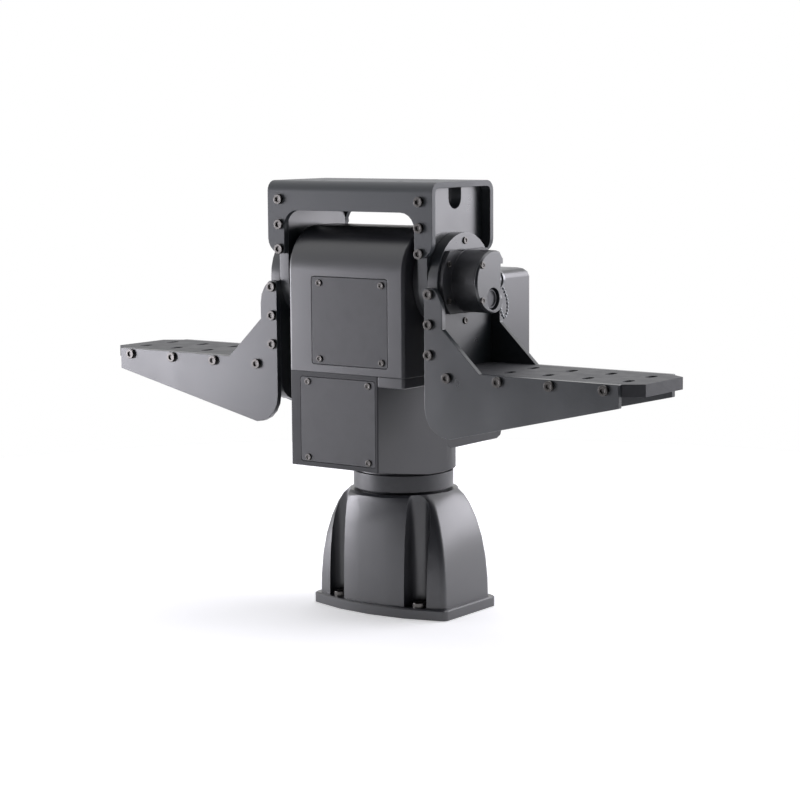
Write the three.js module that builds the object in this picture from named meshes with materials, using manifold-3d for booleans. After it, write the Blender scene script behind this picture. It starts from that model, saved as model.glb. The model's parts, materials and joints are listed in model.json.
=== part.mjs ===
// A motorised pan and tilt head that carries a payload cradle, in millimetres with +Z up.
// The origin is on the pan axis at the foot of the base. The front looks along -Y.
// The tilt axis runs along X, in front of the pan axis, and the upper housing and
// the cradle lie a little to the right of it.
import * as THREE from 'three';
import { mergeVertices } from 'three/addons/utils/BufferGeometryUtils.js';
import Module from 'manifold-3d';

const wasm = await Module();
wasm.setup();

// Clearances shared by all pieces
const fitGap = 0.3; // between pieces that are set into one another
const runGap = 0.5; // between faces that turn past one another
const overrun = 6; // how far a cutter runs past the face that it opens

// Where the head lies: its middle to the right of the pan axis, and the tilt axis
// in front of the pan axis and over the seam of the two castings
const headSide = 13.1;
const tiltForward = 50.1;
const tiltRise = 79;

// Bell-shaped base with its foot flange
const flangeHalfWidth = 72;
const flangeSideHalf = 38.5;
const flangeBulge = 14.7;
const flangeHeight = 9;
const flangeCorner = 4;
const flangeEdge = 1;
const bellInset = 3.9;
const baseTopRadius = 49.6;
const baseHeight = 105.2;
const baseTopRound = 2;
const grooveRadius = 10;
const grooveSpacingX = 85;
const grooveSpacingY = 73;
const mountHoleRadius = 4.5;
const baseCavityRadius = 39;
const baseDeck = 12;
const cableHoleRadius = 9;
const footPlateRadius = 44;
const footPlateThickness = 3;
const padHalfWidth = 32;
const padHeight = 34;
const padMiddle = 46;
const padDepth = 3;
const padCorner = 4;

// Round connectors behind the base
const socketSpacing = 32;
const socketFlange = 25;
const socketFlangeThickness = 2.5;
const socketFlangeCorner = 3;
const socketTailRadius = 7.5;
const socketTailLength = 9;
const socketShellRadius = 9.5;
const socketShellLength = 7;
const socketCapRadius = 11;
const socketCapLength = 8;
const socketEdge = 1;

// Fixed neck ring and hollow post that the head turns on
const neckRadius = 44.2;
const neckHeight = 18.2;
const neckGroove = 1.8;
const neckGrooveDepth = 3;
const neckBoreRadius = 31;
const postRadius = 15;
const postBoreRadius = 10;
const postFootRadius = 28;
const postFootHeight = 5;
const postDrop = 11;
const slipRingLength = 46;

// Lower housing: flat front, round about the pan axis, with a box behind
const lowerHeight = 92.1;
const lowerRadius = 46.2;
const lowerCorner = 1.2;
const lowerInnerCorner = 3;
const lowerWall = 4.5;
const lowerFrontWall = 6;
const lowerFloor = 15.5;
const chinRise = 10.9;
const chinStart = 25;
const sideFlangeHeight = 9;
const carrierThickness = 12;
const carrierDrop = 13;

// Upper housing: a box with a rounded crown
const housingWidth = 121;
const housingDepth = 99.2;
const crownRise = 43.7;
const crownRadius = 37;
const housingEdge = 3;
const housingWall = 5;
const wireHoleRadius = 12;
const wireHoleRise = 24;
const bossRadius = 30;
const bossLength = 10;

// Rear of the two castings, behind the cradle
const rearFace = 90.9;
const rearTopRise = 2;
const rearCorner = 8;
const rearEdge = 1.5;
const lowerRearFace = 88.5;
const lowerRearRise = 18.3;
const lowerRearCorner = 8;
const rearWall = 5;

// Covers with their gaskets
const coverWidth = 79;
const coverOffset = 4;
const lowerCoverFoot = 4.1;
const lowerCoverHead = 4.5;
const upperCoverFoot = 7;
const upperCoverHead = 2;
const rearCoverWidth = 96;
const rearCoverHead = 12;
const coverCorner = 2;
const coverThickness = 2.2;
const gasketThickness = 0.8;
const windowMargin = 8;

// Bearings and seals
const bearingRadius = 24;
const bearingWidth = 10;
const sealThickness = 3.4;

// Tilt shaft and hubs
const tiltShaftRadius = 14;
const tiltShaftBore = 9;
const hubRadius = 38;
const hubThickness = 6.5;

// Worm drives, one for each axis
const toothPitchModule = 1.5;
const wheelTeeth = 42;
const wheelWidth = 12;
const toothBacklash = 0.6;
const pressureAngle = THREE.MathUtils.degToRad(20);
const wormPitchRadius = 8;
const wormThreadTurns = 3;
const wormShaftRadius = 4;
const wormBearingRadius = 8;
const wormBearingWidth = 5;
const wormBearingStart = 17;
const cradleWall = 2.4;
const driveFootDrop = 20;
const driveFootThickness = 8;
const driveFootDepth = 22;
const motorRadius = 17;
const motorLength = 14;
const motorStart = 26;
const motorBoss = 9;
const motorBossLength = 1.5;

// Circuit board, carried on pillars by the rear cover
const boardWidth = 72;
const boardHeight = 40;
const boardThickness = 1.6;
const boardPillar = 9;
const boardPillarRadius = 3;

// Cradle: the bent top bracket and its end plates
const bracketLength = 172;
const sheet = 5;
const plate = 10;
const plateHalfDepth = 40;
const bracketRise = 82;
const bracketBend = 9;
const windowHalf = 68;
const windowTop = 57;
const windowCorner = 14;
const legBottom = 20;
const legCorner = 13;
const endPlateInner = 67.5;
const notchWidth = 18;
const notchBottom = 59;
const cableBoreRadius = 12;
const topHoleRadius = 3.4;
const topHoleSpacingX = 80;
const topHoleSpacingY = 50;

// Cradle: side plates, shelves and gussets
const sidePlateDrop = 108.5;
const sidePlateCorner = 20;
const gussetTopDrop = 4;
const gussetCrownRadius = 23.5;
const gussetCrownDrop = 19;
const armWidth = 18;
const armFoot = 37;
const slantRun = 36;
const shelfDrop = 71.4;
const gussetReach = 261;
const gussetEnd = 18.6;
const heelReach = 24;
const heelDrop = 127;
const heelRound = 24;
const shelfReach = 276.4;
const shelfChamferX = 15.4;
const shelfChamferY = 10.4;
const slotWidth = 7;
const slotLength = 14;
const slotColumns = 4;
const slotPitch = 37;
const slotFromEnd = 22;
const slotRowSpacing = 36;

// Accessory connector housing on the right of the cradle, and the plain cap on the left
const podFlangeRadius = 38;
const podFlangeThickness = 4;
const podRadius = 26;
const podLength = 26.6;
const podFlat = 14.2;
const podFlatCorner = 3;
const podLid = 2.5;
const podLidEdge = 1.3;
const podSeat = 9.6;
const accessoryRadius = 9;
const accessoryLength = 12.5;
const accessoryFlangeWidth = 22;
const accessoryFlangeHeight = 28;
const accessoryFlangeThickness = 3;
const accessoryRib = 1;
const accessoryRibWidth = 3;
const capRadius = 9;
const capThickness = 3;
const capSink = 4;
const capEdge = 1;
const capDrop = 14;
const capForward = 1.5;
const sideCapRadius = 26;
const sideCapThickness = 5;
const sideCapEdge = 2;

// Shares that shape curves
const bellFallShare = 2.4;
const bellSwellShare = 0.75;
const bellLayerShares = [1, 0.79, 0.59, 0.41, 0.25, 0.12, 0.04, 0];
const toothTipShare = 1;
const toothRootShare = 1.2;
const wormStepsAround = 12;
const wormRowsPerTurn = 6;

// Values worked out from the sizes above
const quarter = Math.PI / 2;
const neckTop = baseHeight + neckHeight;
const lowerBottom = neckTop + runGap;
const floorTop = lowerBottom + lowerFloor;
const lowerRearBottom = lowerBottom + lowerRearRise;
const seamHeight = lowerBottom + lowerHeight;
const postTop = seamHeight - postDrop;
const tiltHeight = seamHeight + tiltRise;
const crownTop = tiltHeight + crownRise;
const crownBack = housingDepth / 2 - tiltForward;
const rearTop = tiltHeight + rearTopRise;
const panDriveHeight = floorTop + driveFootDrop;
const sideFace = housingWidth / 2;
const tiltDriveSide = sideFace - housingWall - driveFootDrop;
const frontFace = tiltForward + housingDepth / 2;
const pocketDepth = coverThickness + gasketThickness;
const hubInner = endPlateInner - hubThickness;
const sidePlateInner = endPlateInner + plate;
const sidePlateOuter = sidePlateInner + plate;
const wheelPitchRadius = toothPitchModule * wheelTeeth / 2;
const wheelTipRadius = wheelPitchRadius + toothTipShare * toothPitchModule;
const wheelRootRadius = wheelPitchRadius - toothRootShare * toothPitchModule;
const wormLead = Math.PI * toothPitchModule;
const wormAngle = Math.atan(wormLead / (2 * Math.PI * wormPitchRadius));
const wormTipRadius = wormPitchRadius + toothTipShare * toothPitchModule - fitGap / 2;
const wormRootRadius = wormPitchRadius - toothRootShare * toothPitchModule;
const driveDistance = wheelPitchRadius + wormPitchRadius + fitGap / 2;
const toothThickness = wormLead / 2 - toothBacklash;

// Finishes
function finish(color, roughness, metalness) {
  return new THREE.MeshStandardMaterial({ color, roughness, metalness });
}

const blackCoat = finish(0x2b2c2e, 0.55, 0.3);
const castCoat = finish(0x303133, 0.6, 0.3);
const plateCoat = finish(0x343639, 0.5, 0.4);
const darkRubber = finish(0x141414, 0.9, 0);
const steel = finish(0x8c8f92, 0.35, 0.9);
const bronze = finish(0x9b7a45, 0.4, 0.8);
const nickel = finish(0xb9bab6, 0.3, 0.9);
const boardGreen = finish(0x1d4a2c, 0.7, 0);

// Outlines: lists of points, with round stretches made from arcs
function facetAngle(radius) {
  if (radius > bearingRadius) return quarter / 8;
  if (radius > wormPitchRadius) return quarter / 5;
  return radius > flangeCorner ? quarter / 3 : quarter / 2;
}

function evenArc(cx, cy, radius, start, end, count) {
  const points = [];
  for (let i = 0; i <= count; i += 1) {
    const angle = start + (end - start) * i / count;
    points.push(new THREE.Vector2(cx + radius * Math.cos(angle), cy + radius * Math.sin(angle)));
  }
  return points;
}

function arc(cx, cy, radius, start, end) {
  const count = Math.max(2, Math.ceil(Math.abs(end - start) / facetAngle(radius) - 1e-6));
  return evenArc(cx, cy, radius, start, end, count);
}

function circle(cx, cy, radius) {
  return arc(cx, cy, radius, 0, 4 * quarter).slice(1);
}

function at(x, y) {
  return new THREE.Vector2(x, y);
}

function roundBox(cx, cy, halfWidth, halfHeight, radius) {
  const dx = halfWidth - radius;
  const dy = halfHeight - radius;
  return [
    ...arc(cx + dx, cy - dy, radius, -quarter, 0),
    ...arc(cx + dx, cy + dy, radius, 0, quarter),
    ...arc(cx - dx, cy + dy, radius, quarter, 2 * quarter),
    ...arc(cx - dx, cy - dy, radius, 2 * quarter, 3 * quarter),
  ];
}

function slotAlongY(cx, cy, width, length) {
  const radius = width / 2;
  const dy = length / 2 - radius;
  return [
    ...arc(cx, cy + dy, radius, 0, 2 * quarter),
    ...arc(cx, cy - dy, radius, 2 * quarter, 4 * quarter),
  ];
}

// Solids: every geometry becomes a closed body that can be joined and cut
function signedVolume(position, index) {
  const a = new THREE.Vector3();
  const b = new THREE.Vector3();
  const c = new THREE.Vector3();
  let volume = 0;
  for (let i = 0; i < index.length; i += 3) {
    a.fromBufferAttribute(position, index[i]);
    b.fromBufferAttribute(position, index[i + 1]);
    c.fromBufferAttribute(position, index[i + 2]);
    volume += a.dot(b.cross(c));
  }
  return volume;
}

function toSolid(geometry) {
  const bare = geometry.clone();
  bare.deleteAttribute('normal');
  bare.deleteAttribute('uv');
  const merged = mergeVertices(bare, 1e-4);
  const position = merged.getAttribute('position');
  const inward = signedVolume(position, merged.index.array) < 0;
  const triangles = [];
  for (let i = 0; i < merged.index.count; i += 3) {
    const [a, b, c] = merged.index.array.slice(i, i + 3);
    if (a === b || b === c || c === a) continue;
    triangles.push(...(inward ? [a, c, b] : [a, b, c]));
  }
  const vertProperties = Float32Array.from(position.array);
  const triVerts = Uint32Array.from(triangles);
  return new wasm.Manifold(new wasm.Mesh({ numProp: 3, vertProperties, triVerts }));
}

const xAxis = new THREE.Vector3(1, 0, 0);
const yAxis = new THREE.Vector3(0, 1, 0);
const zAxis = new THREE.Vector3(0, 0, 1);
const backAxis = new THREE.Vector3(0, -1, 0);
const turnAlongX = new THREE.Matrix4().makeBasis(yAxis, zAxis, xAxis);
const turnAlongY = new THREE.Matrix4().makeBasis(xAxis, zAxis, backAxis);

function prism(outline, low, high) {
  const shape = new THREE.Shape(outline);
  const geometry = new THREE.ExtrudeGeometry(shape, { depth: high - low, bevelEnabled: false });
  return geometry.translate(0, 0, low);
}

// An outline in Y and Z, run along X
function alongX(outline, low, high) {
  return toSolid(prism(outline, low, high).applyMatrix4(turnAlongX));
}

// An outline in X and Z, run along Y
function alongY(outline, low, high) {
  return toSolid(prism(outline, -high, -low).applyMatrix4(turnAlongY));
}

// An outline in X and Y, run along Z
function alongZ(outline, low, high) {
  return toSolid(prism(outline, low, high));
}

// A profile of radius and height, turned about the Z axis
function turnedGeometry(profile, segments) {
  const points = profile.map(([radius, height]) => at(radius, height));
  return new THREE.LatheGeometry(points, segments).rotateX(quarter);
}

function turned(profile, segments = 40) {
  return toSolid(turnedGeometry(profile, segments));
}

function turnedAlongX(profile, segments = 40) {
  return toSolid(turnedGeometry(profile, segments).applyMatrix4(turnAlongX));
}

function ringProfile(inner, outer, low, high) {
  return [[inner, low], [outer, low], [outer, high], [inner, high], [inner, low]];
}

// A skin over rings of equally many points, closed at both ends about a middle point
function loft(rings) {
  const count = rings[0].length;
  const positions = [];
  for (const ring of rings) {
    for (const point of ring) positions.push(point.x, point.y, point.z);
  }
  const index = [];
  for (let layer = 0; layer + 1 < rings.length; layer += 1) {
    for (let i = 0; i < count; i += 1) {
      const next = (i + 1) % count;
      const a = layer * count + i;
      const b = layer * count + next;
      index.push(a, b, b + count, a, b + count, a + count);
    }
  }
  const ends = [[rings[0], 0], [rings.at(-1), (rings.length - 1) * count]];
  for (const [ring, first] of ends) {
    const middle = new THREE.Vector3();
    for (const point of ring) middle.addScaledVector(point, 1 / count);
    const centre = positions.length / 3;
    positions.push(middle.x, middle.y, middle.z);
    for (let i = 0; i < count; i += 1) {
      const next = (i + 1) % count;
      if (first === 0) index.push(centre, next, i);
      else index.push(centre, first + i, first + next);
    }
  }
  const geometry = new THREE.BufferGeometry();
  geometry.setAttribute('position', new THREE.Float32BufferAttribute(positions, 3));
  geometry.setIndex(index);
  return geometry;
}

function joined(first, ...others) {
  return others.reduce((sum, solid) => sum.add(solid), first);
}

function cut(first, ...others) {
  return others.reduce((rest, solid) => rest.subtract(solid), first);
}

function addPiece(parent, name, solid, material) {
  const { vertProperties, triVerts } = solid.getMesh();
  const geometry = new THREE.BufferGeometry();
  geometry.setAttribute('position', new THREE.Float32BufferAttribute(vertProperties, 3));
  geometry.setIndex(Array.from(triVerts));
  geometry.computeVertexNormals();
  const mesh = new THREE.Mesh(geometry, material);
  mesh.name = name;
  parent.add(mesh);
  return mesh;
}

// Base casting: a plan with flat sides and swelling front and back, blended up to a circle
function barrelOutline(halfWidth, sideHalf, bulge, corner) {
  const radius = (halfWidth ** 2 + bulge ** 2) / (2 * bulge);
  const reach = Math.asin((halfWidth - corner) / radius);
  const centre = sideHalf + bulge - radius;
  const fillet = (from, control, to) => new THREE.QuadraticBezierCurve(from, control, to).getPoints(3);
  const back = arc(0, centre, radius, quarter - reach, quarter + reach);
  const front = back.map((point) => at(-point.x, -point.y));
  const side = sideHalf - corner;
  const outline = [
    ...fillet(front.at(-1), at(halfWidth, -sideHalf), at(halfWidth, -side)),
    at(halfWidth, 0),
    ...fillet(at(halfWidth, side), at(halfWidth, sideHalf), back[0]),
    ...back.slice(1, -1),
    ...fillet(back.at(-1), at(-halfWidth, sideHalf), at(-halfWidth, side)),
    at(-halfWidth, 0),
    ...fillet(at(-halfWidth, -side), at(-halfWidth, -sideHalf), front[0]),
    ...front.slice(1, -1),
  ];
  return outline;
}

function flangeRing(inset, height) {
  const outline = barrelOutline(flangeHalfWidth - inset, flangeSideHalf - inset, flangeBulge, flangeCorner);
  return outline.map((point) => new THREE.Vector3(point.x, point.y, height));
}

function bellRing(share, inset = 0) {
  const swell = (1 - (1 - share) ** bellFallShare) ** bellSwellShare;
  const topDrop = inset ? 0 : baseTopRound * (1 - share);
  const height = baseHeight - share * (baseHeight - flangeHeight / 2) - topDrop;
  return flangeRing(bellInset, height).map((point) => {
    const round = point.clone().setZ(0).setLength(baseTopRadius - inset).setZ(height);
    return round.lerp(point, swell);
  });
}

function screwGroove(sideX, sideY) {
  const x = sideX * grooveSpacingX / 2;
  const y = sideY * grooveSpacingY / 2;
  const far = sideY * (flangeSideHalf + flangeBulge + overrun);
  const start = sideY > 0 ? 2 * quarter : 0;
  const outline = [
    ...arc(x, y, grooveRadius, start, start + 2 * quarter),
    at(x + sideY * grooveRadius, far),
    at(x - sideY * grooveRadius, far),
  ];
  return alongZ(outline, flangeHeight, baseHeight + overrun);
}

function baseCasting() {
  const flange = toSolid(loft([flangeRing(0, 0), flangeRing(0, flangeHeight - flangeEdge),
    flangeRing(flangeEdge, flangeHeight)]));
  const layers = bellLayerShares.map((share) => bellRing(share));
  const bell = toSolid(loft([...layers, bellRing(0, baseTopRound)]));
  const padTop = flangeSideHalf + flangeBulge - bellInset - padDepth;
  let body = joined(flange, bell);
  for (const sideX of [-1, 1]) {
    for (const sideY of [-1, 1]) {
      const hole = circle(sideX * grooveSpacingX / 2, sideY * grooveSpacingY / 2, mountHoleRadius);
      body = cut(body, screwGroove(sideX, sideY), alongZ(hole, -overrun, flangeHeight + overrun));
    }
    const tail = circle(sideX * socketSpacing / 2, padMiddle, socketTailRadius + fitGap);
    body = cut(body, alongY(tail, 0, padTop + overrun));
  }
  return cut(
    body,
    alongY(roundBox(0, padMiddle, padHalfWidth, padHeight / 2, padCorner), padTop, padTop + 2 * overrun),
    alongZ(circle(0, 0, baseCavityRadius), -overrun, baseHeight - baseDeck),
    alongZ(circle(0, 0, footPlateRadius + fitGap), -overrun, footPlateThickness),
    alongZ(circle(0, 0, cableHoleRadius), baseHeight - baseDeck - overrun, baseHeight + overrun),
  );
}

function baseSocket(side) {
  const seat = flangeSideHalf + flangeBulge - bellInset - padDepth;
  const x = side * socketSpacing / 2;
  const shellStart = seat + socketFlangeThickness;
  const capStart = shellStart + socketShellLength;
  const half = socketFlange / 2;
  const cap = [
    [0, -capStart - socketCapLength],
    [socketCapRadius - socketEdge, -capStart - socketCapLength],
    [socketCapRadius, -capStart - socketCapLength + socketEdge],
    [socketCapRadius, -capStart],
    [socketShellRadius, -capStart],
    [socketShellRadius, -shellStart],
    [0, -shellStart],
  ];
  const shell = turnedGeometry(cap, 16).applyMatrix4(turnAlongY).translate(x, 0, padMiddle);
  return joined(
    alongY(roundBox(x, padMiddle, half, half, socketFlangeCorner), seat, shellStart),
    alongY(circle(x, padMiddle, socketTailRadius), seat - socketTailLength, seat),
    toSolid(shell),
  );
}

function footPlate() {
  return alongZ(circle(0, 0, footPlateRadius), 0, footPlateThickness);
}

// Neck ring with a shadow groove under and over its band
function neckRing() {
  const throat = neckRadius - neckGrooveDepth;
  return turned([
    [neckBoreRadius, baseHeight],
    [throat, baseHeight],
    [throat, baseHeight + neckGroove],
    [neckRadius, baseHeight + neckGroove],
    [neckRadius, neckTop - neckGroove],
    [throat, neckTop - neckGroove],
    [throat, neckTop],
    [neckBoreRadius, neckTop],
    [neckBoreRadius, baseHeight],
  ], 36);
}

function panPost() {
  const footTop = baseHeight + postFootHeight;
  return turned([
    [postBoreRadius, baseHeight],
    [postFootRadius, baseHeight],
    [postFootRadius, footTop],
    [postRadius, footTop],
    [postRadius, postTop],
    [postBoreRadius, postTop],
    [postBoreRadius, baseHeight],
  ], 20);
}

function slipRing() {
  const radius = postBoreRadius - fitGap;
  return turned([[0, postTop - slipRingLength], [radius, postTop - slipRingLength], [radius, postTop],
    [0, postTop]], 16);
}

// A ball bearing: two rings and their shields, as one body
function panBearing(low) {
  return turned(ringProfile(postRadius + fitGap, bearingRadius, low, low + bearingWidth), 20);
}

// Lower housing: plan and chin
function lowerOutline(inset, frontInset) {
  const radius = lowerRadius - inset;
  const front = frontFace - frontInset;
  const corner = inset ? lowerInnerCorner : lowerCorner;
  return [
    ...arc(0, 0, radius, 0, 2 * quarter),
    ...arc(-radius + corner, -front + corner, corner, 2 * quarter, 3 * quarter),
    ...arc(radius - corner, -front + corner, corner, 3 * quarter, 4 * quarter),
  ];
}

function chinCutter() {
  const run = frontFace - chinStart;
  const lift = chinRise * (run + overrun) / run;
  const outline = [
    at(-chinStart, lowerBottom),
    at(-frontFace - overrun, lowerBottom + lift),
    at(-frontFace - overrun, lowerBottom - overrun),
    at(-chinStart, lowerBottom - overrun),
  ];
  return alongX(outline, -lowerRadius - overrun, lowerRadius + overrun);
}

// A block with rounded side edges, as rings in Y and Z that step along X
function blockRing(block, inset, x) {
  const [front, back] = [block.front + inset, block.back - inset];
  const [low, high] = [block.low + inset, block.high - inset];
  const foot = Math.max(block.footRadius - inset, fitGap);
  const brow = Math.max(block.frontRadius - inset, fitGap);
  const nape = Math.max(block.backRadius - inset, fitGap);
  const outline = [
    ...evenArc(front + foot, low + foot, foot, 2 * quarter, 3 * quarter, 2),
    ...evenArc(back - foot, low + foot, foot, 3 * quarter, 4 * quarter, 2),
    ...evenArc(back - nape, high - nape, nape, 0, quarter, block.steps),
    ...evenArc(front + brow, high - brow, brow, quarter, 2 * quarter, block.steps),
  ];
  return outline.map((point) => new THREE.Vector3(x, point.x, point.y));
}

function roundedBlock(block) {
  const rings = [];
  for (const side of [-1, 1]) {
    for (const step of [0, 1, 2, 3]) {
      const angle = quarter * (side > 0 ? step : 3 - step) / 3;
      const inset = block.edge * (1 - Math.cos(angle));
      const x = side * (block.halfWidth - block.edge * (1 - Math.sin(angle)));
      rings.push(blockRing(block, inset, x));
    }
  }
  return toSolid(loft(rings));
}

// The crown block of the upper housing, before it is hollowed
function crownBlank() {
  return roundedBlock({
    front: -frontFace,
    back: crownBack,
    low: seamHeight - overrun,
    high: crownTop,
    footRadius: housingEdge,
    frontRadius: crownRadius,
    backRadius: crownRadius,
    halfWidth: sideFace,
    edge: housingEdge,
    steps: 8,
  }).intersect(slab(seamHeight, crownTop + overrun));
}

// The lower casting's own box behind the pan axis
function lowerRearBlock(inset) {
  return {
    front: 0,
    back: lowerRearFace - inset,
    low: lowerRearBottom + inset,
    high: seamHeight + overrun,
    footRadius: lowerRearCorner,
    frontRadius: lowerRearCorner,
    backRadius: lowerRearCorner,
    halfWidth: lowerRadius - inset,
    edge: rearEdge,
    steps: 3,
  };
}

function slab(low, high) {
  const reach = housingWidth + housingDepth;
  return alongZ([at(-reach, -reach), at(reach, -reach), at(reach, reach), at(-reach, reach)], low, high);
}

// Each cover lies in a pocket of its face; inward is the way from the face into the casting
const covers = {
  upper: {
    x: headSide + coverOffset,
    low: seamHeight + upperCoverFoot,
    high: tiltHeight + upperCoverHead,
    width: coverWidth,
    face: -frontFace,
    inward: 1,
  },
  lower: {
    x: coverOffset,
    low: lowerBottom + chinRise + lowerCoverFoot,
    high: seamHeight - lowerCoverHead,
    width: coverWidth,
    face: -frontFace,
    inward: 1,
  },
  rear: {
    x: headSide,
    low: seamHeight + upperCoverFoot,
    high: rearTop - rearCoverHead,
    width: rearCoverWidth,
    face: rearFace,
    inward: -1,
  },
};

function coverSlab(cover, grow, near, far) {
  const radius = Math.max(coverCorner, coverCorner + grow);
  const { x, face, inward } = cover;
  const [middle, halfHeight] = [(cover.high + cover.low) / 2, (cover.high - cover.low) / 2];
  const outline = roundBox(x, middle, cover.width / 2 + grow, halfHeight + grow, radius);
  const [low, high] = [face + inward * near, face + inward * far].toSorted((a, b) => a - b);
  return alongY(outline, low, high);
}

function coverPocket(cover) {
  return joined(
    coverSlab(cover, fitGap, -overrun, pocketDepth),
    coverSlab(cover, -windowMargin, -overrun, 2 * lowerFrontWall),
  );
}

function coverPlate(cover) {
  return coverSlab(cover, 0, 0, coverThickness);
}

function coverGasket(cover) {
  return cut(
    coverSlab(cover, 0, coverThickness, pocketDepth),
    coverSlab(cover, -windowMargin, 0, 2 * pocketDepth),
  );
}

function lowerHousing() {
  const outer = cut(alongZ(lowerOutline(0, 0), lowerBottom, seamHeight), chinCutter());
  const rear = roundedBlock(lowerRearBlock(0)).intersect(slab(lowerBottom, seamHeight));
  const bearingTop = lowerBottom + bearingWidth + 2 * runGap;
  return cut(
    joined(outer, rear),
    alongZ(lowerOutline(lowerWall, lowerFrontWall), floorTop, seamHeight + overrun),
    roundedBlock(lowerRearBlock(rearWall)),
    alongZ(circle(0, 0, bearingRadius + fitGap), lowerBottom - overrun, bearingTop),
    alongZ(circle(0, 0, postRadius + bearingWidth / 4), lowerBottom, floorTop + overrun),
    coverPocket(covers.lower),
  );
}

// The flange that carries the overhang of the upper housing on the right
function sideFlange() {
  const right = headSide + sideFace;
  const [front, back] = [-frontFace, rearFace];
  const outline = [
    at(lowerRadius, front),
    ...arc(right - housingEdge, front + housingEdge, housingEdge, 3 * quarter, 4 * quarter),
    ...arc(right - rearEdge, back - rearEdge, rearEdge, 0, quarter),
    at(lowerRadius, back),
  ];
  return alongZ(outline, seamHeight - sideFlangeHeight, seamHeight);
}

// The bearing carrier closes the lower housing's drive chamber
function panCarrier() {
  const top = seamHeight - carrierDrop;
  return cut(
    alongZ(lowerOutline(lowerWall + fitGap, lowerFrontWall + fitGap), top - carrierThickness, top),
    alongZ(circle(0, 0, bearingRadius + fitGap), top - carrierThickness - overrun, top + overrun),
  );
}

// Upper housing: the crown block over the tilt shaft, open below
function upperHousing() {
  const half = housingDepth / 2 - housingWall;
  const radius = crownRadius - housingWall;
  const top = crownTop - housingWall;
  const inside = [
    at(-tiltForward - half, seamHeight - overrun),
    at(-tiltForward + half, seamHeight - overrun),
    ...arc(-tiltForward + half - radius, top - radius, radius, 0, quarter),
    ...arc(-tiltForward - half + radius, top - radius, radius, quarter, 2 * quarter),
  ];
  const inner = sideFace - housingWall;
  const wireHole = circle(0, seamHeight + wireHoleRise, wireHoleRadius);
  let shell = cut(
    crownBlank(),
    alongX(inside, -inner, inner),
    alongY(wireHole, crownBack - 2 * housingWall, crownBack + overrun),
  ).translate(headSide, 0, 0);
  shell = cut(shell, coverPocket(covers.upper));
  for (const side of [-1, 1]) {
    const round = circle(-tiltForward, tiltHeight, bossRadius);
    const boss = alongX(round, ...range(side, inner - bossLength, inner));
    const bore = circle(-tiltForward, tiltHeight, bearingRadius + fitGap);
    const through = alongX(bore, ...range(side, inner - 2 * bossLength, sideFace + overrun));
    shell = cut(joined(shell, boss.translate(headSide, 0, 0)), through.translate(headSide, 0, 0));
  }
  return shell;
}

// Rear housing: a box bolted to the back of the crown block, rounded along its top edges
function rearHousing() {
  const slope = rearCorner;
  const across = [
    ...arc(sideFace - slope, rearTop - slope, slope, 0, quarter),
    ...arc(-sideFace + slope, rearTop - slope, slope, quarter, 2 * quarter),
    at(-sideFace, seamHeight),
    at(sideFace, seamHeight),
  ];
  const along = [
    at(crownBack, seamHeight),
    at(rearFace, seamHeight),
    ...arc(rearFace - slope, rearTop - slope, slope, 0, quarter),
    at(crownBack, rearTop),
  ];
  const inner = sideFace - rearWall;
  const inside = [at(-inner, -overrun), at(inner, -overrun), at(inner, rearTop - seamHeight - rearWall),
    at(-inner, rearTop - seamHeight - rearWall)].map((point) => at(point.x, point.y + seamHeight));
  const shell = alongY(across, crownBack, rearFace).intersect(alongX(along, -sideFace, sideFace));
  const hollow = alongY(inside, crownBack - overrun, rearFace - rearWall);
  return cut(cut(shell, hollow).translate(headSide, 0, 0), coverPocket(covers.rear));
}

// The low and high end of a stretch on the right (1) or, mirrored, on the left (-1)
function range(side, near, far) {
  return side > 0 ? [near, far] : [-far, -near];
}

function controlBoard() {
  const wall = rearFace - coverThickness;
  const start = wall - boardPillar - boardThickness;
  const middle = (covers.rear.low + covers.rear.high) / 2;
  const outline = roundBox(headSide, middle, boardWidth / 2, boardHeight / 2, boardPillarRadius);
  let board = alongY(outline, start, start + boardThickness);
  for (const sideX of [-1, 1]) {
    for (const sideZ of [-1, 1]) {
      const x = headSide + sideX * (boardWidth / 2 - 2 * boardPillarRadius);
      const z = middle + sideZ * (boardHeight / 2 - 2 * boardPillarRadius);
      board = joined(board, alongY(circle(x, z, boardPillarRadius), start, wall));
    }
  }
  return board;
}

// Tilt bearings, seals, shaft and hubs, about the tilt axis
function tiltBearing(side) {
  const outer = sideFace - sealThickness - fitGap;
  const [low, high] = range(side, outer - bearingWidth, outer);
  return turnedAlongX(ringProfile(tiltShaftRadius + fitGap, bearingRadius, low, high), 20);
}

function tiltSeal(side) {
  const [low, high] = range(side, sideFace - sealThickness, sideFace);
  return turnedAlongX(ringProfile(tiltShaftRadius + fitGap, bearingRadius, low, high), 20);
}

function tiltShaft() {
  const end = endPlateInner - fitGap;
  return turnedAlongX(ringProfile(tiltShaftBore, tiltShaftRadius, -end, end), 20);
}

function tiltHub(side) {
  const [low, high] = range(side, hubInner, endPlateInner);
  return turnedAlongX(ringProfile(tiltShaftRadius + fitGap, hubRadius, low, high), 32);
}

// Worm drive, in a frame of its own: the wheel turns about Z at the origin
// and the worm lies along X, beside the wheel towards -Y
function involute(radius) {
  const angle = Math.acos(Math.min(1, wheelPitchRadius * Math.cos(pressureAngle) / radius));
  return Math.tan(angle) - angle;
}

function toothOutline() {
  const points = [];
  const radii = [wheelRootRadius, wheelTipRadius];
  const halfAngle = (radius) => toothThickness / (2 * wheelPitchRadius)
    + involute(wheelPitchRadius) - involute(radius);
  for (let tooth = 0; tooth < wheelTeeth; tooth += 1) {
    const middle = -quarter + 4 * quarter * (tooth + 1 / 2) / wheelTeeth;
    for (const radius of radii) points.push([radius, middle - halfAngle(radius)]);
    for (const radius of radii.toReversed()) points.push([radius, middle + halfAngle(radius)]);
  }
  return points;
}

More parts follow.
